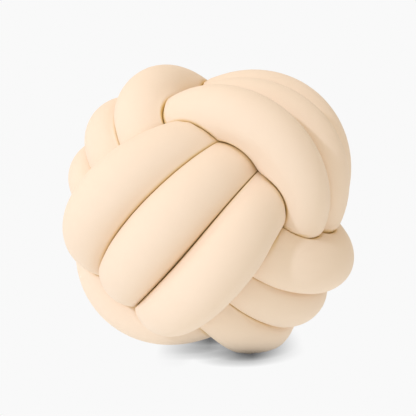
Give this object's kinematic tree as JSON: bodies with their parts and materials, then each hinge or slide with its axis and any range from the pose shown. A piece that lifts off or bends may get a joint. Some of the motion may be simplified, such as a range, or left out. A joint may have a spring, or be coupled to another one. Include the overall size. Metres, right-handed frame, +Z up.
{
  "type": "knot cushion",
  "caption": "Knot cushion: a soft ball about 30 cm across, tied from a thick stuffed tube of smooth cream cloth in a monkey's fist",
  "frame": {"origin": "on the surface it rests on, under the middle of the ball's box", "axes": "-Y towards the front of the ball, where it is looked at from, +Z up"},
  "size_m": [0.2872, 0.3094, 0.2843],
  "materials": {
    "cloth": "matte brushed cloth"
  },
  "bodies": {
    "root": {"knot_tube": "cloth"}
  },
  "joints": []
}
